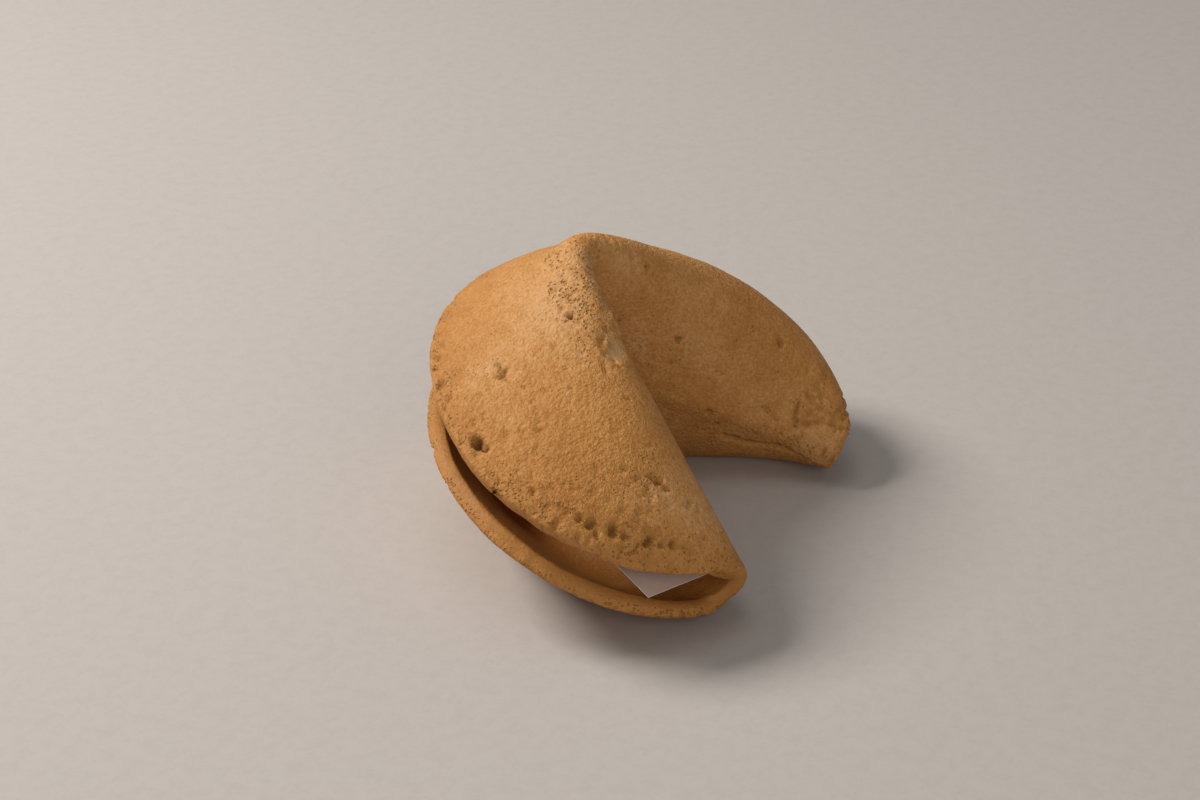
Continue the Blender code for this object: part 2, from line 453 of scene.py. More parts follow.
    def swell(self, u: np.ndarray, v: np.ndarray) -> np.ndarray:
        """Height of the upper layer's soft swells: a sum of bells."""
        return heaped(self.swells, u, v) * (v > 0)


@dataclass(frozen=True)
class Rest:
    """How the folded frame is turned and moved to lie on the ground."""

    pitch: float = 24.6
    roll: float = 0.9
    seat: tuple[float, float, float] = (0.00038, 0.01057, 0.01882)

    def stand(self, points: np.ndarray) -> np.ndarray:
        """Points of the folded frame as they lie: turned about X, then about Y, then moved.

        Args:
            points: rows of x, y and z in the folded frame.

        Returns:
            The same points as the cookie lies.
        """
        pitch, roll = math.radians(self.pitch), math.radians(self.roll)
        about_x = np.array(
            [
                [1, 0, 0],
                [0, math.cos(pitch), -math.sin(pitch)],
                [0, math.sin(pitch), math.cos(pitch)],
            ]
        )
        about_y = np.array(
            [
                [math.cos(roll), 0, math.sin(roll)],
                [0, 1, 0],
                [-math.sin(roll), 0, math.cos(roll)],
            ]
        )
        return points @ (about_y @ about_x).T + np.array(self.seat)


@dataclass(frozen=True)
class Pore:
    """One open pore of the crust: an uneven oval bowl (millimetres; turn in degrees)."""

    u: float
    v: float
    along: float
    across: float
    depth: float
    turn: float = 0.0


def drawn_pores(
    rng: np.random.Generator,
    places: tuple[np.ndarray, np.ndarray],
    sizes: tuple[float, float],
    power: float,
    slimmest: float,
    depth: float,
) -> list[Pore]:
    """Pores of random size, shape and turn at given places, more of them small than large.

    Args:
        rng: the random sequence.
        places: u and v of the pores.
        sizes: the smallest and the largest half length.
        power: how strongly small pores outnumber large ones.
        slimmest: the least width as a part of the length.
        depth: depth as a part of the half length.

    Returns:
        One pore for each place.
    """
    u, v = places
    smallest, largest = sizes
    size = smallest + (largest - smallest) * rng.random(u.size) ** power
    ratio = rng.uniform(slimmest, 1.0, u.size)
    spin = rng.uniform(0, 180, u.size)
    rows = zip(u, v, size, size * ratio, size * depth, spin)
    return [Pore(*map(float, row)) for row in rows]


@dataclass(frozen=True)
class PorePatch:
    """A scatter of small pores round a place of the flat wafer."""

    u: float
    v: float
    spread_u: float
    spread_v: float
    count: int
    sizes: tuple[float, float]
    turn: float = 0.0
    depth: float = 0.85
    power: float = 3.0
    slimmest: float = 0.65

    def pores(self, seed: int) -> list[Pore]:
        """Pores at normally spread places.

        Args:
            seed: number of the random sequence.

        Returns:
            The pores of the patch.
        """
        rng = np.random.default_rng(seed)
        turn = math.radians(self.turn)
        ahead = rng.normal(0, self.spread_u, self.count)
        aside = rng.normal(0, self.spread_v, self.count)
        u = self.u + ahead * math.cos(turn) - aside * math.sin(turn)
        v = self.v + ahead * math.sin(turn) + aside * math.cos(turn)
        return drawn_pores(rng, (u, v), self.sizes, self.power, self.slimmest, self.depth)


@dataclass(frozen=True)
class RimPores:
    """A band of small pores just inside the rim, between two angles round the wafer."""

    start: float
    end: float
    inset: float
    spread: float
    count: int
    sizes: tuple[float, float]
    depth: float = 0.7
    power: float = 2.5
    slimmest: float = 0.6

    def pores(self, seed: int, radius: float) -> list[Pore]:
        """Pores at even random angles and normally spread distances from the rim.

        Args:
            seed: number of the random sequence.
            radius: the wafer's radius in millimetres.

        Returns:
            The pores of the band.
        """
        rng = np.random.default_rng(seed)
        angle = np.radians(rng.uniform(self.start, self.end, self.count))
        out = radius - np.abs(rng.normal(self.inset, self.spread, self.count))
        places = out * np.cos(angle), out * np.sin(angle)
        return drawn_pores(rng, places, self.sizes, self.power, self.slimmest, self.depth)


@dataclass(frozen=True)
class Crack:
    """An open crack along a few points of the flat wafer (millimetres)."""

    points: tuple[tuple[float, float], ...]
    width: float
    depth: float

    def distance(self, u: np.ndarray, v: np.ndarray) -> np.ndarray:
        """Distance of each place from the nearest leg of the crack."""
        nearest = np.full_like(u, np.inf)
        for (start_u, start_v), (end_u, end_v) in zip(self.points, self.points[1:]):
            leg_u, leg_v = end_u - start_u, end_v - start_v
            along = (u - start_u) * leg_u + (v - start_v) * leg_v
            part = np.clip(along / (leg_u**2 + leg_v**2), 0, 1)
            away = np.hypot(u - start_u - part * leg_u, v - start_v - part * leg_v)
            nearest = np.minimum(nearest, away)
        return nearest


@dataclass(frozen=True)
class Flake:
    """A raised or fallen piece of crust with a sharp uneven edge (millimetres)."""

    u: float
    v: float
    along: float
    across: float
    height: float
    turn: float = 0.0
    edge: float = 0.12
    fresh: float = 0.0


def oval_distance(mark: Pore | Flake, u: np.ndarray, v: np.ndarray) -> np.ndarray:
    """Distance of flat places from the middle of a turned oval, 1 on its outline.

    Args:
        mark: the pore or flake.
        u: places along the fold.
        v: places across the fold.

    Returns:
        The distances, each axis measured in the oval's own half length.
    """
    turn = math.radians(mark.turn)
    ahead, aside = u - mark.u, v - mark.v
    along = (ahead * math.cos(turn) + aside * math.sin(turn)) / mark.along
    across = (aside * math.cos(turn) - ahead * math.sin(turn)) / mark.across
    return np.hypot(along, across)


@dataclass
class CrustRelief:
    """Everything that stands out of or sinks into the outer skin of the wafer."""

    radius: float = 40.0
    deepest: float = 1.45
    full_tone: float = 1.1
    pore_reach: float = 1.5
    pore_wall: tuple[float, float] = (0.35, 1.2)
    pore_uneven: float = 0.28
    pore_overlap: float = 0.25
    crack_wall: tuple[float, float] = (0.4, 1.7)
    flake_uneven: float = 0.13
    rounding: tuple[Ripple, ...] = (Ripple(0.09, 7.0, 1), Ripple(0.05, 2.9, 2, 3.0))
    grain: tuple[Ripple, ...] = (
        Ripple(0.030, 1.3, 3),
        Ripple(0.022, 0.66, 4, 0.0, 9.0),
        Ripple(0.020, 0.42, 5, 5.0),
    )
    outline_noise: Ripple = Ripple(1.0, 0.45, 11)
    crack_noise: Ripple = Ripple(0.16, 0.5, 21)
    inner_relief: tuple[Ripple, ...] = (Ripple(0.07, 5.0, 51), Ripple(0.04, 1.7, 52))
    open_base: float = 0.22
    open_rim: tuple[float, float] = (0.45, 2.4)
    open_patches: tuple[Ripple | Bell, ...] = (
        Ripple(0.16, 5.0, 61),
        Bell(-5.5, 20.0, 7.5, 4.6, 0.62),
        Bell(-31.5, 13.5, 3.5, 3.5, 0.40),
        Bell(-14.0, 17.0, 5.0, 3.0, 0.30),
        Bell(35.0, 1.0, 5.0, 4.0, 0.25),
    )
    bake_base: float = 0.52
    bake_rim: tuple[float, float, float] = (0.14, 0.5, 2.2)
    # The ripples are random tone. The bells are partly real bake and partly painted light: paler
    # where light falls on the upper lobe and the ridge, browner in the low, shaded middle.
    bake_and_light_patches: tuple[Ripple | Bell, ...] = (
        Ripple(0.16, 9.0, 31),
        Ripple(0.09, 3.4, 32),
        Bell(-6.0, 19.0, 9.0, 6.0, -0.34),
        Bell(-14.0, 25.0, 9.0, 7.0, -0.16),
        Bell(-27.0, 24.0, 7.0, 8.0, 0.30),
        Bell(-7.0, 34.5, 9.0, 4.5, 0.16),
        Bell(-33.0, 7.0, 5.0, 5.0, -0.18),
    )
    pores: tuple[Pore, ...] = (
        Pore(-23.5, 30.4, 0.80, 0.72, 1.45, 30),
        Pore(-24.3, 29.6, 0.50, 0.42, 1.10, 20),
        Pore(-17.3, 28.3, 0.42, 0.26, 0.60, 70),
        Pore(-12.4, 20.3, 0.55, 0.40, 0.80, 20),
        Pore(-11.2, 21.2, 0.45, 0.30, 0.50, 60),
        Pore(-13.2, 20.9, 0.30, 0.24, 0.35, 0),
        Pore(-17.2, 19.2, 0.26, 0.22, 0.35, 0),
        Pore(-23.5, 24.0, 0.34, 0.28, 0.40, 0),
        Pore(-24.5, 23.7, 0.42, 0.30, 0.45, 40),
        Pore(-29.9, 24.2, 0.40, 0.30, 0.45, 0),
        Pore(-32.5, 20.6, 0.34, 0.26, 0.45, 57),
        Pore(-33.2, 19.5, 0.36, 0.28, 0.65, 61),
        Pore(-33.9, 18.4, 0.58, 0.36, 0.85, 80),
        Pore(-34.6, 17.7, 0.44, 0.26, 0.65, 20),
        Pore(-34.9, 16.1, 0.62, 0.42, 0.95, 45),
        Pore(-35.5, 15.0, 0.44, 0.34, 0.75, 66),
        Pore(-36.4, 12.5, 0.58, 0.38, 0.90, 95),
        Pore(-36.9, 11.2, 0.38, 0.28, 0.65, 71),
        Pore(-37.1, 10.1, 0.52, 0.36, 0.80, 50),
        Pore(-37.5, 8.9, 0.32, 0.26, 0.50, 76),
        Pore(-37.9, 8.1, 0.32, 0.24, 0.34, 78),
        Pore(-31.4, 12.9, 0.50, 0.38, 0.55, 40),
        Pore(-32.0, 12.2, 0.56, 0.44, 0.75, 60),
        Pore(-32.7, 11.4, 0.48, 0.34, 0.60, 60),
        Pore(-32.3, 13.2, 0.30, 0.24, 0.35, 0),
        Pore(-33.8, 8.9, 0.40, 0.32, 0.45, 0),
        Pore(-34.6, 8.0, 0.34, 0.26, 0.35, 0),
        Pore(9.5, 16.2, 0.46, 0.30, 0.60, 100),
        Pore(13.1, 13.4, 0.50, 0.30, 0.30, 20),
        Pore(13.9, 12.2, 0.40, 0.30, 0.30, 0),
        Pore(15.4, 7.7, 0.52, 0.40, 0.70, 0),
        Pore(15.3, 4.6, 0.46, 0.36, 0.45, 0),
        Pore(29.5, 9.0, 0.60, 0.42, 0.70, 80),
        Pore(22.0, -0.2, 0.55, 0.34, 0.55, 0),
        Pore(24.0, -1.6, 0.50, 0.34, 0.45, 20),
        Pore(27.0, -3.0, 0.85, 0.50, 0.95, 15),
        Pore(28.3, -3.1, 0.50, 0.42, 0.70, 0),
        Pore(29.7, -2.8, 0.95, 0.55, 1.00, 10),
        Pore(31.0, -2.2, 0.50, 0.34, 0.55, 20),
        Pore(32.3, -1.7, 0.70, 0.42, 0.75, 25),
        Pore(33.9, -1.4, 0.60, 0.34, 0.60, 10),
        Pore(35.6, -1.2, 0.80, 0.42, 0.75, 10),
        Pore(-12.5, 36.6, 0.62, 0.36, 0.55, 20),
        Pore(-13.9, 36.6, 0.55, 0.34, 0.55, 60),
        Pore(-16.2, 35.4, 0.60, 0.40, 0.50, 120),
        Pore(-18.0, 34.2, 0.45, 0.34, 0.45, 0),
    )
    patches: tuple[PorePatch, ...] = (
        PorePatch(-10.6, 20.4, 3.6, 1.7, 120, (0.14, 0.42), -25),
        PorePatch(-4.0, 20.6, 3.4, 2.4, 110, (0.14, 0.38), 10),
        PorePatch(3.5, 19.4, 3.8, 2.4, 60, (0.14, 0.36), 0),
        PorePatch(-14.2, 18.2, 2.6, 1.4, 60, (0.13, 0.32), -30),
        PorePatch(-20.0, 22.0, 7.0, 4.0, 70, (0.12, 0.30), -40),
        PorePatch(-30.4, 15.0, 3.0, 2.4, 46, (0.14, 0.34), -50),
        PorePatch(-24.6, 24.2, 1.6, 1.2, 18, (0.14, 0.34), 0),
        PorePatch(13.2, 13.0, 1.6, 1.4, 22, (0.14, 0.34), 0),
        PorePatch(29.0, -2.2, 4.2, 0.8, 40, (0.16, 0.46), 10),
        PorePatch(36.0, 3.0, 1.8, 1.6, 22, (0.14, 0.34), 0),
        PorePatch(0.0, 0.0, 17.0, 17.0, 420, (0.12, 0.34), 0),
        PorePatch(-8.0, -18.0, 10.0, 8.0, 70, (0.16, 0.55), 0),
        PorePatch(16.0, -20.0, 9.0, 8.0, 70, (0.16, 0.55), 0),
        PorePatch(18.0, 24.0, 8.0, 6.0, 60, (0.16, 0.60), 0),
    )
    rims: tuple[RimPores, ...] = (
        RimPores(95, 178, 2.6, 1.6, 210, (0.14, 0.46)),
        RimPores(2, 95, 2.4, 1.5, 190, (0.14, 0.60)),
        RimPores(182, 358, 2.2, 1.5, 330, (0.14, 0.52)),
        RimPores(0, 360, 0.5, 0.4, 620, (0.16, 0.44)),
    )
    cracks: tuple[Crack, ...] = (
        Crack(((-31.8, 21.6), (-33.4, 19.2), (-34.8, 16.9), (-35.7, 14.6)), 0.20, 0.22),
        Crack(((-35.7, 14.6), (-36.5, 12.2), (-37.2, 9.8), (-37.8, 7.8)), 0.18, 0.20),
        Crack(((-16.3, 28.5), (-16.9, 28.1), (-17.3, 28.1), (-17.9, 27.8)), 0.20, 0.8),
        Crack(((-16.9, 27.6), (-16.8, 28.1)), 0.15, 0.6),
        Crack(((-17.6, 28.5), (-17.4, 28.0)), 0.15, 0.5),
        Crack(((-13.6, 16.6), (-15.2, 17.0), (-16.6, 17.3), (-17.4, 16.9)), 0.16, 0.45),
        Crack(((-17.4, 16.9), (-18.6, 17.2), (-20.2, 16.9)), 0.13, 0.35),
        Crack(((-16.8, 16.9), (-17.8, 16.1), (-18.9, 15.6)), 0.12, 0.35),
        Crack(((28.6, 2.0), (29.6, 1.5), (31.0, 0.9)), 0.14, 0.4),
        Crack(((33.1, 3.3), (33.0, 2.2), (33.5, 0.9)), 0.22, 0.55),
        Crack(((33.8, 4.6), (34.9, 3.7), (36.3, 3.3), (38.2, 3.4)), 0.18, 0.45),
        Crack(((35.0, 5.6), (35.7, 4.6), (36.2, 3.4)), 0.14, 0.35),
        Crack(((34.3, 1.5), (35.6, 2.0), (37.4, 2.3), (39.2, 2.2)), 0.2, 0.5),
        Crack(((25.8, -2.9), (28.4, -3.2), (31.2, -2.4), (34.0, -1.5), (37.0, -1.1)), 0.24, 0.5),
    )
    flakes: tuple[Flake, ...] = (
        Flake(-16.6, 15.6, 2.0, 0.95, -0.34, -28, 0.16, 1.0),
        Flake(-15.0, 16.1, 1.0, 0.6, -0.16, 10, 0.2, 0.6),
        Flake(-11.4, 14.8, 1.9, 1.5, 0.40, -20, 0.14),
        Flake(-8.6, 16.2, 2.6, 2.0, 0.16, -20, 0.35),
        Flake(36.9, 0.2, 2.9, 1.75, 0.34, 6, 0.14, 0.3),
        Flake(37.4, -0.3, 2.6, 1.1, 0.16, 0, 0.3),
    )

    def rim_distance(self, u: np.ndarray, v: np.ndarray) -> np.ndarray:
        """Distance of flat places from the rim, in millimetres."""
        return self.radius - np.hypot(u, v)

    def dig(
        self, hollow: np.ndarray, u: np.ndarray, v: np.ndarray, pore: Pore, uneven: np.ndarray
    ) -> None:
        """Deepen the hollow by one pore: a flat-bottomed bowl over an uneven oval.

        Args:
            hollow: depths so far, changed in place.
            u: places along the fold.
            v: places across the fold.
            pore: the pore.
            uneven: noise that makes the oval's outline uneven.
        """
        reach = self.pore_reach * max(pore.along, pore.across)
        near = np.nonzero((np.abs(u - pore.u) < reach) & (np.abs(v - pore.v) < reach))
        out = oval_distance(pore, u[near], v[near]) * (1 + self.pore_uneven * uneven[near])
        bowl = pore.depth * (1 - smooth_step(*self.pore_wall, out))
        both = np.minimum(hollow[near], bowl)
        hollow[near] = np.maximum(hollow[near], bowl) + self.pore_overlap * both

    def read(self, u: np.ndarray, v: np.ndarray) -> dict[str, np.ndarray]:
        """Relief of the outer skin and the masks that its finish reads.

        Args:
            u: places along the fold, in millimetres.
            v: places across the fold, in millimetres.

        Returns:
            height in millimetres, and the pore, fresh and rough masks from 0 to 1.
        """
        uneven = self.outline_noise.over(u, v)
        rough = self.rough(u, v)
        height = heaped(self.rounding, u, v) + rough * heaped(self.grain, u, v)
        hollow = np.zeros_like(u)
        scattered = [p for n, patch in enumerate(self.patches) for p in patch.pores(100 + n)]
        band = [p for n, rim in enumerate(self.rims) for p in rim.pores(200 + n, self.radius)]
        for pore in (*self.pores, *scattered, *band):
            self.dig(hollow, u, v, pore, uneven)
        wander = self.crack_noise.over(u, v)
        for crack in self.cracks:
            bottom, top = (part * crack.width for part in self.crack_wall)
            cut = crack.depth * (1 - smooth_step(bottom, top, crack.distance(u, v) + wander))
            hollow = np.maximum(hollow, cut)
        fresh = np.zeros_like(u)
        for flake in self.flakes:
            out = np.sqrt(oval_distance(flake, u, v)) * (1 + self.flake_uneven * uneven)
            inside = 1 - smooth_step(1 - flake.edge, 1 + flake.edge, out)
            height += flake.height * inside
            fresh = np.maximum(fresh, flake.fresh * inside)
        hollow = np.minimum(hollow, self.deepest)
        height -= hollow
        # The pore mask is the hollows' depth. The crust turns it into browner crust and painted
        # shade.
        pore = np.clip(hollow / self.full_tone, 0, 1)
        return {"height": height, "pore": pore, "fresh": fresh, "rough": np.clip(rough, 0, 1)}

    def rough(self, u: np.ndarray, v: np.ndarray) -> np.ndarray:
        """How open the crust's grain is: patches on the ridge and at the tips, and the rim."""
        height, width = self.open_rim
        rim = height * np.exp(-((self.rim_distance(u, v) / width) ** 2))
        return self.open_base + heaped(self.open_patches, u, v) + rim

    def bake_and_light_mask(self, u: np.ndarray, v: np.ndarray) -> np.ndarray:
        """How brown each place is, 0 pale to 1 brown: soft patches, partly real bake and partly
        painted light, and a browner rim.
        """
        height, inset, width = self.bake_rim
        rim = height * np.exp(-(((self.rim_distance(u, v) - inset) / width) ** 2))
        return np.clip(self.bake_base + heaped(self.bake_and_light_patches, u, v) + rim, 0, 1)


@dataclass
class CookieShell:
    """The folded wafer as one closed mesh: outer skin, rounded rough rim and inner skin.

    Both skins lie on one square grid that is mapped onto the round wafer.  The inner skin
    takes every second line, and its outermost faces have a fifth corner on the rim, apart
    from those at the grid's four corners, which are split in two.
    """

    fold: WaferFold = field(default_factory=WaferFold)
    rest: Rest = field(default_factory=Rest)
    relief: CrustRelief = field(default_factory=CrustRelief)
    thickness: float = 0.0022
    steps_u: int = 344
    steps_v: int = 216
    rim_round: float = 0.55
    rim_power: float = 3.2
    rim_wear: float = 0.0025
    wear_power: int = 14
    wear_base: float = 0.5
    wear_most: float = 1.3
    wear_noise: tuple[Ripple, ...] = (Ripple(0.5, 2.3, 41), Ripple(0.3, 0.8, 42))
    rim_relief: float = 0.35
    rim_mark: tuple[float, float] = (0.3, 1.6)
    closing: float = 0.0021
    closing_reach: tuple[float, float] = (0.0070, 0.0185)
    closing_rise: tuple[float, float] = (0.0005, 0.0040)
    crowd_u: Crowding = Crowding(1.9, 0.035, 0.9, 0.05, 0.35, -0.55, 0.55)
    crowd_v: Crowding = Crowding(2.2, 0.035, 0.8, 0.05, 0.55, 0.5, 0.42)

    def flat_places(self) -> tuple[np.ndarray, np.ndarray, np.ndarray]:
        """Flat coordinates of the outer skin's grid: each square line bent into the disc.

        Returns:
            u and v in metres, with the rim drawn in a little by slow noise so that it isn't
            a true circle, and the distance from that rim in millimetres.
        """
        x, y = np.meshgrid(
            spaced(self.steps_u, self.crowd_u), spaced(self.steps_v, self.crowd_v), indexing="ij"
        )
        u, v = x * np.sqrt(1 - y**2 / 2), y * np.sqrt(1 - x**2 / 2)
        out = np.hypot(u, v)
        radius = self.fold.wafer_radius
        round_rim = np.arctan2(v, u) * radius / MM
        worn = self.wear_base + heaped(self.wear_noise, round_rim, np.zeros_like(round_rim))
        worn = np.clip(worn, 0, self.wear_most) * out**self.wear_power
        drawn = radius * (1 - self.rim_wear * worn)
        return u * drawn, v * drawn, (1 - out) * radius / MM

    def middle(self, u: np.ndarray, v: np.ndarray) -> tuple[np.ndarray, np.ndarray]:
        """Middle surface and its outward normals on the grid.

        Args:
            u: grid of places along the fold.
            v: grid of places across the fold.

        Returns:
            Grids of points and of unit normals, from differences along the grid's lines.
        """
        points = self.fold.rounded(u.ravel(), v.ravel()).reshape(*u.shape, 3)
        points = points + grid_normals(points) * self.fold.swell(u, v)[..., None]
        return points, grid_normals(points)

    def closed_tip(self, u: np.ndarray, v: np.ndarray) -> np.ndarray:
        """Extra thickness of the upper layer that closes the gap at the near horn's tip.

        Args:
            u: grid of places along the fold.
            v: grid of places across the fold.

        Returns:
            The thickness, a ramp of the flat distance from the tip times one from the fold.
        """
        from_tip = np.hypot(u + self.fold.wafer_radius, v)
        near = 1 - smooth_step(*self.closing_reach, from_tip)
        return self.closing * near * smooth_step(*self.closing_rise, v)

    def skin(
        self, side: Skin, points: np.ndarray, normal: np.ndarray, flat: tuple[np.ndarray, ...]
    ) -> tuple[np.ndarray, dict[str, np.ndarray]]:
        """One skin: the middle surface pushed out by half the thickness, less at the rim.

        Args:
            side: which skin.
            points: middle surface.
            normal: its outward normals.
            flat: u, v and distance from the rim on the same grid.

        Returns:
            Points of the skin as the cookie lies, and its masks.
        """
        u, v, from_rim = flat[0] / MM, flat[1] / MM, flat[2]
        part = 1 - np.clip(from_rim / self.rim_round, 0, 1)
        full = (1 - part**self.rim_power) ** (1 / self.rim_power)
        if side is Skin.OUTER:
            marks = self.relief.read(u, v)
        else:
            marks = {"height": heaped(self.relief.inner_relief, u, v)}
            marks |= {name: np.zeros_like(u) for name in ("pore", "fresh", "rough")}
        height = marks.pop("height") * (self.rim_relief + (1 - self.rim_relief) * full)
        # Mask of real bake with painted light: paler on the lit upper lobe and the ridge, browner in
        # the low, shaded middle.
        marks["bake"] = self.relief.bake_and_light_mask(u, v)
        marks["rim"] = 1 - smooth_step(*self.rim_mark, from_rim)
        extra = self.closed_tip(flat[0], flat[1]) / 2
        away = side.value * ((self.thickness / 2 + extra) * full + height * MM) - extra
        return self.rest.stand(points + normal * away[..., None]), marks

    def faces(self) -> tuple[list[list[int]], int]:
        """Faces of the closed shell over the outer grid's points, then the inner ones.

        Returns:
            Lists of corners, and how many of them belong to the outer skin.
        """
        grid = np.arange((self.steps_u + 1) * (self.steps_v + 1))
        grid = grid.reshape(self.steps_u + 1, self.steps_v + 1)
        outer = np.stack([grid[:-1, :-1], grid[1:, :-1], grid[1:, 1:], grid[:-1, 1:]], axis=-1)
        coarse = grid[::2, ::2].copy()
        within = coarse[1:-1, 1:-1].shape
        coarse[1:-1, 1:-1] = grid.size + np.arange(within[0] * within[1]).reshape(within)
        a, b, c, d = coarse[:-1, :-1], coarse[:-1, 1:], coarse[1:, 1:], coarse[1:, :-1]
        inner = np.stack([a, b, c, d], axis=-1)[1:-1, 1:-1]
        low, high = grid[1::2, 0], grid[1::2, -1]
        left, right = grid[0, 1::2], grid[-1, 1::2]
        edges = (
            np.stack([a[0], left, b[0], c[0], d[0]], axis=-1)[1:-1],
            np.stack([a[-1], b[-1], c[-1], right, d[-1]], axis=-1)[1:-1],
            np.stack([a[:, 0], b[:, 0], c[:, 0], d[:, 0], low], axis=-1)[1:-1],
            np.stack([a[:, -1], b[:, -1], high, c[:, -1], d[:, -1]], axis=-1)[1:-1],
        )
        corners = [
            [a[0, 0], left[0], b[0, 0], c[0, 0]],
            [a[0, 0], c[0, 0], d[0, 0], low[0]],
            [a[0, -1], left[-1], b[0, -1], d[0, -1]],
            [b[0, -1], high[0], c[0, -1], d[0, -1]],
            [a[-1, 0], b[-1, 0], d[-1, 0], low[-1]],
            [b[-1, 0], c[-1, 0], right[0], d[-1, 0]],
            [a[-1, -1], b[-1, -1], high[-1], c[-1, -1]],
            [a[-1, -1], c[-1, -1], right[-1], d[-1, -1]],
        ]
        faces = outer.reshape(-1, 4).tolist() + inner.reshape(-1, 4).tolist()
        for edge in edges:
            faces += edge.tolist()
        faces += [[int(corner) for corner in face] for face in corners]
        return faces, outer.shape[0] * outer.shape[1]

    def build(self) -> bpy.types.Object:
        """The shell's object, with its masks as attributes and a slot for each skin.

        Returns:
            The finished object.
        """
        flat = self.flat_places()
        points, normal = self.middle(flat[0], flat[1])
        outer, outer_marks = self.skin(Skin.OUTER, points, normal, flat)
        coarse = tuple(values[::2, ::2] for values in flat)
        inner, inner_marks = self.skin(Skin.INNER, points[::2, ::2], normal[::2, ::2], coarse)
        places = np.concatenate([outer.reshape(-1, 3), inner[1:-1, 1:-1].reshape(-1, 3)])
        places[:, 2] = np.maximum(places[:, 2], 0)
        faces, outer_count = self.faces()
        made = new_piece("folded_wafer", places, faces)
        for name, values in outer_marks.items():
            within = inner_marks[name][1:-1, 1:-1]
            mark = made.data.attributes.new(name, "FLOAT", "POINT")
            mark.data.foreach_set("value", np.concatenate([values.ravel(), within.ravel()]))
        slots = np.zeros(len(faces), np.int32)
        slots[outer_count:] = 1
        made.data.polygons.foreach_set("material_index", slots)
        return made

    def dress(self, made: bpy.types.Object) -> None:
        """Give the outer skin its crust and the inner skin its pressed finish."""
        made.data.materials.append(BakedCrust().material())
        made.data.materials.append(PressedInside().material())


@dataclass
class FortuneSlip:
    """The blank paper slip: flat at its bare corner and curled up at its hidden end."""

    rest: Rest = field(default_factory=Rest)
    corner: tuple[float, float, float] = (-0.0281, -0.0280, -0.00105)
    turn: float = 71.0
    width: float = 0.0115
    length: float = 0.0340
    flat_length: float = 0.0220
    curl: float = 0.0200
    thickness: float = 0.00014
    wave: float = 0.00010
    wave_along: float = 0.0052
    wave_across: float = 0.0041
    wave_start: float = 0.9
    sharp_angle: float = 50.0
    steps_along: int = 120
    steps_across: int = 40

    def surface(self, along: np.ndarray, across: np.ndarray) -> np.ndarray:
        """Middle of the paper: straight, then an arc upwards, with a faint wave.

        Args:
            along: distance from the bare end.
            across: distance from the bare corner's side.

        Returns:
            Points in the folded frame.
        """
        turn = math.radians(self.turn)
        bend = np.maximum(along - self.flat_length, 0) / self.curl
        ahead = np.minimum(along, self.flat_length) + self.curl * np.sin(bend)
        climb = self.curl * (1 - np.cos(bend))
        ripple = np.sin(along / self.wave_along + self.wave_start)
        ripple = ripple * np.cos(across / self.wave_across)
        x = self.corner[0] + ahead * math.cos(turn) + across * math.sin(turn)
        y = self.corner[1] + ahead * math.sin(turn) - across * math.cos(turn)
        return np.stack([x, y, self.corner[2] + climb + self.wave * ripple], axis=-1)

    def build(self) -> bpy.types.Object:
        """The slip's object: its two faces and the cut edge between them.

        Returns:
            The finished object.
        """
        along, across = np.meshgrid(
            np.linspace(0, self.length, self.steps_along + 1),
            np.linspace(0, self.width, self.steps_across + 1),
            indexing="ij",
        )
        middle = self.surface(along, across)
        normal = grid_normals(middle)
        under = middle + normal * self.thickness / 2
        over = middle - normal * self.thickness / 2
        places = self.rest.stand(np.concatenate([under.reshape(-1, 3), over.reshape(-1, 3)]))
        grid = np.arange(along.size).reshape(along.shape)
        quads = np.stack([grid[:-1, :-1], grid[1:, :-1], grid[1:, 1:], grid[:-1, 1:]], axis=-1)
        quads = quads.reshape(-1, 4)
        edge = np.concatenate([grid[:-1, 0], grid[-1, :-1], grid[:0:-1, -1], grid[0, :0:-1]])
        ahead = np.roll(edge, -1)
        wall = np.stack([edge, edge + grid.size, ahead + grid.size, ahead], axis=-1)
        faces = np.concatenate([quads, quads[:, ::-1] + grid.size, wall]).tolist()
        made = new_piece("paper_slip", places, faces)
        made.data.set_sharp_from_angle(angle=math.radians(self.sharp_angle))
        return made

    def dress(self, made: bpy.types.Object) -> None:
        """Give the slip its paper finish."""
        made.data.materials.append(SlipPaper().material())


def add_node(tree: bpy.types.NodeTree, kind: str, **settings: object) -> bpy.types.Node:
    """New node of a tree with its settings.

    Args:
        tree: the tree.
        kind: the node's type.
        settings: properties of the node by name.

    Returns:
        The new node.
    """
    node = tree.nodes.new(kind)
    for name, value in settings.items():
        setattr(node, name, value)
    return node


def noise_at(
    tree: bpy.types.NodeTree, place: bpy.types.NodeSocket, scale: float, detail: float
) -> bpy.types.NodeSocket:
    """Height of a noise texture read at a place.

    Args:
        tree: the tree.
        place: the coordinates.
        scale: waves to a metre.
        detail: number of finer octaves.

    Returns:
        The noise's height socket.
    """
    node = add_node(tree, "ShaderNodeTexNoise")
    node.inputs["Scale"].default_value = scale
    node.inputs["Detail"].default_value = detail
    tree.links.new(place, node.inputs["Vector"])
    return node.outputs["Fac"]


def ranged(
    tree: bpy.types.NodeTree,
    value: bpy.types.NodeSocket,
    source: tuple[float, float],
    to: tuple[float, float],
) -> bpy.types.NodeSocket:
    """A value taken from one range to another, held at its ends.

    Args:
        tree: the tree.
        value: the value's socket.
        source: the range it comes from.
        to: the range it goes to.

    Returns:
        The new value's socket.
    """
    node = add_node(tree, "ShaderNodeMapRange")
    for name, number in zip(("From Min", "From Max", "To Min", "To Max"), (*source, *to)):
        node.inputs[name].default_value = number
    tree.links.new(value, node.inputs["Value"])
    return node.outputs["Result"]


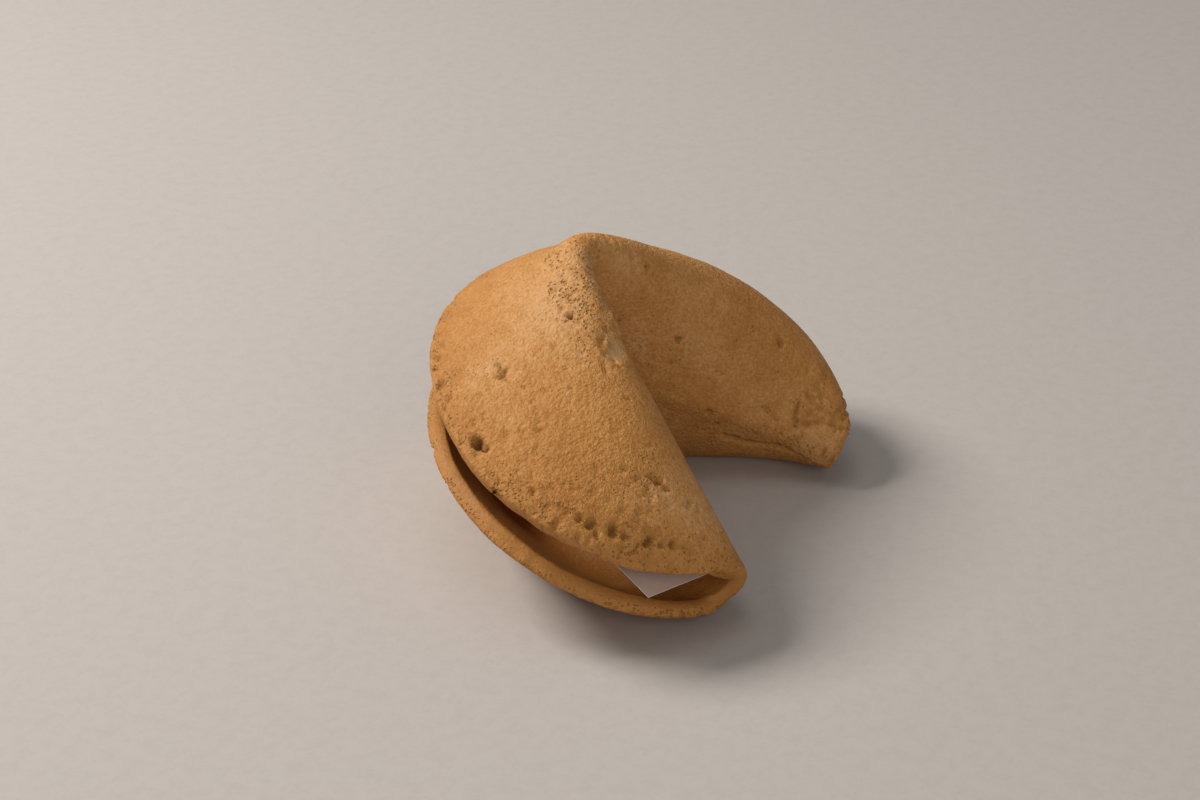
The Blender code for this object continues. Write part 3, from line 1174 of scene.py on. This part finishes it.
def mixed(
    tree: bpy.types.NodeTree,
    part: bpy.types.NodeSocket,
    first: bpy.types.NodeSocket | tuple[float, float, float],
    second: bpy.types.NodeSocket | tuple[float, float, float],
) -> bpy.types.NodeSocket:
    """Two colours mixed by a part.

    Args:
        tree: the tree.
        part: how much of the second colour.
        first: the first colour, or its socket.
        second: the second colour, or its socket.

    Returns:
        The mixed colour's socket.
    """
    node = add_node(tree, "ShaderNodeMix", data_type="RGBA")
    tree.links.new(part, node.inputs["Factor"])
    for socket, colour in zip(MIX_COLOURS, (first, second)):
        if isinstance(colour, tuple):
            node.inputs[socket].default_value = (*colour, 1)
        else:
            tree.links.new(colour, node.inputs[socket])
    return node.outputs[MIX_RESULT]


def summed(
    tree: bpy.types.NodeTree,
    first: bpy.types.NodeSocket,
    second: bpy.types.NodeSocket,
    weight: float,
) -> bpy.types.NodeSocket:
    """The first value plus the second times a weight.

    Args:
        tree: the tree.
        first: the first value's socket.
        second: the second value's socket.
        weight: how much of the second value is added.

    Returns:
        The sum's socket.
    """
    node = add_node(tree, "ShaderNodeMath", operation="MULTIPLY_ADD")
    node.inputs[1].default_value = weight
    tree.links.new(second, node.inputs[0])
    tree.links.new(first, node.inputs[2])
    return node.outputs["Value"]


def new_group(
    name: str, inputs: tuple[str, ...], colours: tuple[str, ...], outputs: tuple[str, ...]
) -> tuple[bpy.types.NodeTree, bpy.types.Node, bpy.types.Node]:
    """Empty node group with its sockets.

    Args:
        name: the group's name.
        inputs: names of the inputs.
        colours: those of the names that are colours; the others are numbers.
        outputs: names of the outputs.

    Returns:
        The group's tree, its input node and its output node.
    """
    tree = bpy.data.node_groups.new(name, "ShaderNodeTree")
    for way, names in (("INPUT", inputs), ("OUTPUT", outputs)):
        for socket in names:
            kind = "NodeSocketColor" if socket in colours else "NodeSocketFloat"
            tree.interface.new_socket(socket, in_out=way, socket_type=kind)
    return tree, add_node(tree, "NodeGroupInput"), add_node(tree, "NodeGroupOutput")


def fine_grain() -> bpy.types.NodeTree:
    """Node group of a dry open grain: its height with its pits, and a mask of the pits.

    The pits are the middles of cells, where slow noise and the given roughness let them be.

    Returns:
        The group, built once.
    """
    found = bpy.data.node_groups.get("fine_grain")
    if found:
        return found
    inputs = ("Coarse", "Fine", "Cells", "Open")
    tree, entry, leave = new_group("fine_grain", inputs, (), ("Height", "Pits"))
    place = add_node(tree, "ShaderNodeTexCoord").outputs["Object"]
    coarse, fine = noise_at(tree, place, 1, 3), noise_at(tree, place, 1, 2)
    tree.links.new(entry.outputs["Coarse"], coarse.node.inputs["Scale"])
    tree.links.new(entry.outputs["Fine"], fine.node.inputs["Scale"])
    cells = add_node(tree, "ShaderNodeTexVoronoi")
    tree.links.new(place, cells.inputs["Vector"])
    tree.links.new(entry.outputs["Cells"], cells.inputs["Scale"])
    patchy = noise_at(tree, place, PIT_PATCHES, 2)
    size = ranged(tree, summed(tree, patchy, entry.outputs["Open"], OPEN_WEIGHT), *PIT_SIZES)
    pit = add_node(tree, "ShaderNodeMath", operation="SUBTRACT")
    tree.links.new(size, pit.inputs[0])
    tree.links.new(cells.outputs["Distance"], pit.inputs[1])
    pits = ranged(tree, pit.outputs["Value"], (0.0, PIT_EDGE), (0, 1))
    grain = summed(tree, coarse, fine, FINE_WEIGHT)
    tree.links.new(summed(tree, grain, pits, -PIT_WEIGHT), leave.inputs["Height"])
    tree.links.new(pits, leave.inputs["Pits"])
    return tree


def bake_and_light_tone() -> bpy.types.NodeTree:
    """Node group of the wafer's colour from its mask of bake and painted light: pale to gold to
    brown, uneven at three scales.

    Returns:
        The group, built once.
    """
    found = bpy.data.node_groups.get("bake_and_light_tone")
    if found:
        return found
    colours = ("Pale", "Gold", "Brown", "Colour")
    inputs = ("Bake", "Pale", "Gold", "Brown")
    tree, entry, leave = new_group("bake_and_light_tone", inputs, colours, ("Colour",))
    place = add_node(tree, "ShaderNodeTexCoord").outputs["Object"]
    bake = entry.outputs["Bake"]
    for scale, weight in TONE_NOISES:
        uneven = ranged(tree, noise_at(tree, place, scale, 2), (0.25, 0.75), (-0.5, 0.5))
        bake = summed(tree, bake, uneven, weight)
    gold = mixed(
        tree, ranged(tree, bake, (0.05, 0.50), (0, 1)), entry.outputs["Pale"], entry.outputs["Gold"]
    )
    brown = mixed(tree, ranged(tree, bake, (0.50, 1.0), (0, 1)), gold, entry.outputs["Brown"])
    tree.links.new(brown, leave.inputs["Colour"])
    return tree


def place_group(
    tree: bpy.types.NodeTree, group: bpy.types.NodeTree, **values: object
) -> bpy.types.Node:
    """A node group placed in a material's tree with its own values.

    Args:
        tree: the material's tree.
        group: the group.
        values: numbers or colours by input name.

    Returns:
        The group's node.
    """
    node = add_node(tree, "ShaderNodeGroup", node_tree=group)
    for name, value in values.items():
        node.inputs[name].default_value = (*value, 1) if isinstance(value, tuple) else value
    return node


@dataclass(frozen=True)
class Finish:
    """What every finish has: its name, gloss and the size and depth of its grain."""

    name: str = "finish"
    roughness: tuple[float, float] = (0.6, 0.75)
    specular: float = 0.35
    coarse: float = 1500.0
    fine: float = 3200.0
    cells: float = 1900.0
    grain_depth: float = 0.00022
    gloss_span: tuple[float, float] = (0.5, 1.2)

    def start(self) -> tuple[bpy.types.Material, bpy.types.Node, bpy.types.Node]:
        """Material with its grain on Normal and Roughness.

        Returns:
            The material, its Principled node and its grain group's node.
        """
        made = bpy.data.materials.new(self.name)
        made.use_nodes = True
        tree = made.node_tree
        surface = tree.nodes["Principled BSDF"]
        surface.inputs["Specular IOR Level"].default_value = self.specular
        grain = place_group(tree, fine_grain(), Coarse=self.coarse, Fine=self.fine, Cells=self.cells)
        bump = add_node(tree, "ShaderNodeBump")
        bump.inputs["Distance"].default_value = self.grain_depth
        tree.links.new(grain.outputs["Height"], bump.inputs["Height"])
        tree.links.new(bump.outputs["Normal"], surface.inputs["Normal"])
        gloss = ranged(tree, grain.outputs["Height"], self.gloss_span, self.roughness)
        tree.links.new(gloss, surface.inputs["Roughness"])
        return made, surface, grain


@dataclass(frozen=True)
class BakedCrust(Finish):
    """The outer crust: golden and uneven, with patches of painted light, darker along its rim, and
    darker in its pores, there partly browner crust and partly painted shade that deepens with their
    depth.
    """

    name: str = "baked_crust"
    pale: tuple[float, float, float] = (0.62, 0.325, 0.125)
    gold: tuple[float, float, float] = (0.52, 0.232, 0.056)
    brown: tuple[float, float, float] = (0.40, 0.155, 0.026)
    # pore: browner crust with painted shade in pits and shallow pores. deep: painted shade at the
    # bottom of deep pores and cracks.
    pore: tuple[float, float, float] = (0.37, 0.170, 0.028)
    deep: tuple[float, float, float] = (0.16, 0.060, 0.008)
    rim: tuple[float, float, float] = (0.47, 0.205, 0.046)
    fresh: tuple[float, float, float] = (0.62, 0.37, 0.165)
    softness: float = 0.06
    softness_depth: float = 0.0006

    def material(self) -> bpy.types.Material:
        """The crust's material, read from its masks of bake with painted light, pore, rim and fresh.
        """
        made, surface, grain = self.start()
        tree = made.node_tree
        mark = {
            name: add_node(tree, "ShaderNodeAttribute", attribute_name=name).outputs["Fac"]
            for name in ("bake", "pore", "rim", "fresh", "rough")
        }
        tree.links.new(mark["rough"], grain.inputs["Open"])
        tone = place_group(tree, bake_and_light_tone(), Pale=self.pale, Gold=self.gold, Brown=self.brown)
        tree.links.new(mark["bake"], tone.inputs["Bake"])
        colour = tone.outputs["Colour"]
        # Rim and fresh are the crust's own colour. Pits and pores darken with their depth, partly
        # browner crust and partly painted shade. The deepest pores and cracks go almost black, which
        # is painted shade.
        for mask, source, most, to in (
            (mark["rim"], (0, 1), 0.6, self.rim),
            (grain.outputs["Pits"], (0, 1), 0.6, self.pore),
            (mark["fresh"], (0, 1), 0.75, self.fresh),
            (mark["pore"], (0.05, 0.5), 0.8, self.pore),
            (mark["pore"], (0.4, 1.0), 0.9, self.deep),
        ):
            colour = mixed(tree, ranged(tree, mask, source, (0, most)), colour, to)
        tree.links.new(colour, surface.inputs["Base Color"])
        surface.inputs["Subsurface Weight"].default_value = self.softness
        surface.inputs["Subsurface Scale"].default_value = self.softness_depth
        return made


@dataclass(frozen=True)
class PressedInside(Finish):
    """The inner skin: smoother and more evenly browned than the crust, and darker and more saturated
    as painted shade of the hollow between the layers.
    """

    name: str = "pressed_inside"
    roughness: tuple[float, float] = (0.55, 0.7)
    fine: float = 3000.0
    grain_depth: float = 0.00010
    # These colours are darker than the crust's as painted shade of the hollow between the layers.
    pale: tuple[float, float, float] = (0.46, 0.205, 0.050)
    gold: tuple[float, float, float] = (0.40, 0.160, 0.028)
    brown: tuple[float, float, float] = (0.33, 0.115, 0.015)
    rim: tuple[float, float, float] = (0.47, 0.205, 0.046)

    def material(self) -> bpy.types.Material:
        """The inside's material, which meets the crust's colour at the rim."""
        made, surface, _ = self.start()
        tree = made.node_tree
        bake = add_node(tree, "ShaderNodeAttribute", attribute_name="bake").outputs["Fac"]
        rim = add_node(tree, "ShaderNodeAttribute", attribute_name="rim").outputs["Fac"]
        tone = place_group(tree, bake_and_light_tone(), Pale=self.pale, Gold=self.gold, Brown=self.brown)
        tree.links.new(bake, tone.inputs["Bake"])
        colour = mixed(tree, ranged(tree, rim, (0, 1), (0, 0.6)), tone.outputs["Colour"], self.rim)
        tree.links.new(colour, surface.inputs["Base Color"])
        return made


@dataclass(frozen=True)
class PlainFinish(Finish):
    """One colour, slightly uneven with its grain: the slip's paper and the floor."""

    colour: tuple[float, float, float] = (0.62, 0.60, 0.58)
    darker: tuple[float, float, float] = (0.56, 0.54, 0.52)
    darker_span: tuple[float, float] = (0.95, 0.65)

    def material(self) -> bpy.types.Material:
        """The material, a mix of its two near colours by the grain's height."""
        made, surface, grain = self.start()
        tree = made.node_tree
        low = ranged(tree, grain.outputs["Height"], self.darker_span, (0, 1))
        colour = mixed(tree, low, self.colour, self.darker)
        tree.links.new(colour, surface.inputs["Base Color"])
        return made


@dataclass(frozen=True)
class SlipPaper(PlainFinish):
    """Matt uncoated paper, warm white."""

    name: str = "slip_paper"
    roughness: tuple[float, float] = (0.82, 0.9)
    specular: float = 0.2
    fine: float = 5200.0
    grain_depth: float = 0.00001
    colour: tuple[float, float, float] = (0.82, 0.66, 0.58)
    darker: tuple[float, float, float] = (0.78, 0.62, 0.54)


@dataclass(frozen=True)
class Backdrop(PlainFinish):
    """The plain pale floor."""

    name: str = "pale_floor"
    roughness: tuple[float, float] = (0.85, 0.95)
    specular: float = 0.1
    coarse: float = 500.0
    fine: float = 1500.0
    grain_depth: float = 0.00002
    colour: tuple[float, float, float] = (0.50, 0.46, 0.43)
    darker: tuple[float, float, float] = (0.48, 0.44, 0.41)


class Lamp(Enum):
    """The studio's soft lights: azimuth, elevation, distance, size and power."""

    KEY = (-172.0, 46.0, 0.62, 0.26, 3.9)
    FILL = (-50.0, 22.0, 0.80, 0.60, 1.5)
    TOP = (-120.0, 82.0, 0.70, 0.45, 0.6)


@dataclass
class Studio:
    """Floor, soft lights and camera round the cookie."""

    aim: tuple[float, float, float] = (0.00810, 0.00697, 0.01048)
    azimuth: float = -66.76
    elevation: float = 27.32
    distance: float = 0.35682
    lens: float = 85.0
    clip_start: float = 0.01
    floor_size: float = 4.0
    sky: tuple[float, float, float] = (1.0, 1.0, 1.0)
    sky_strength: float = 0.16
    lamp_colour: tuple[float, float, float] = (1.0, 0.97, 0.93)

    @staticmethod
    def towards(azimuth: float, elevation: float) -> np.ndarray:
        """Unit vector from the object to a place round it (degrees; azimuth 0 is -Y)."""
        turn, climb = math.radians(azimuth), math.radians(elevation)
        level = math.cos(climb)
        return np.array([math.sin(turn) * level, -math.cos(turn) * level, math.sin(climb)])

    def aimed(
        self, data: bpy.types.ID, azimuth: float, elevation: float, distance: float
    ) -> bpy.types.Object:
        """Object of a light or camera that looks at the aim.

        Args:
            data: the light or camera.
            azimuth: its place round the object, in degrees.
            elevation: its height, in degrees.
            distance: its distance from the aim.

        Returns:
            The object, linked to the scene.
        """
        made = bpy.data.objects.new(data.name, data)
        made.location = np.array(self.aim) + self.towards(azimuth, elevation) * distance
        made.rotation_euler = (math.radians(90 - elevation), 0, math.radians(azimuth))
        bpy.context.scene.collection.objects.link(made)
        return made

    def floor(self) -> bpy.types.Object:
        """Wide plain floor at the level that the cookie lies on."""
        half = self.floor_size / 2
        corners = np.array([[-half, -half, 0], [half, -half, 0], [half, half, 0], [-half, half, 0]])
        made = new_piece("studio_floor", corners, [[0, 1, 2, 3]])
        made.data.materials.append(Backdrop().material())
        return made

    def lights(self) -> None:
        """The three soft lights and the even sky."""
        for lamp in Lamp:
            azimuth, elevation, distance, size, power = lamp.value
            data = bpy.data.lights.new(f"{lamp.name.lower()}_light", "AREA")
            data.shape = "DISK"
            data.size = size
            data.energy = power
            data.color = self.lamp_colour
            self.aimed(data, azimuth, elevation, distance)
        world = bpy.data.worlds.new("studio_sky")
        world.use_nodes = True
        sky = world.node_tree.nodes["Background"]
        sky.inputs["Color"].default_value = (*self.sky, 1)
        sky.inputs["Strength"].default_value = self.sky_strength
        bpy.context.scene.world = world

    def camera(self) -> None:
        """The camera, level, at its viewing angle."""
        data = bpy.data.cameras.new("camera")
        data.lens = self.lens
        data.clip_start = self.clip_start
        made = self.aimed(data, self.azimuth, self.elevation, self.distance)
        bpy.context.scene.camera = made


def main() -> None:
    """Build and dress the cookie's pieces, then set the studio up round them."""
    logging.basicConfig(level=logging.INFO, format="%(name)s: %(message)s")
    for maker, node, slot in (
        (CookieShell(), "cookie_shell", "baked_wafer"),
        (FortuneSlip(), "fortune_slip", "slip_paper"),
    ):
        piece = maker.build()
        maker.dress(piece)
        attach(piece, "root")
        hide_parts(node)
        mesh = piece.data
        LOG.info("%s: %d points, %d faces", piece.name, len(mesh.vertices), len(mesh.polygons))
    studio = Studio()
    studio.floor()
    studio.lights()
    studio.camera()
    bpy.context.scene.view_settings.view_transform = "Standard"


if __name__ == "__main__":
    main()
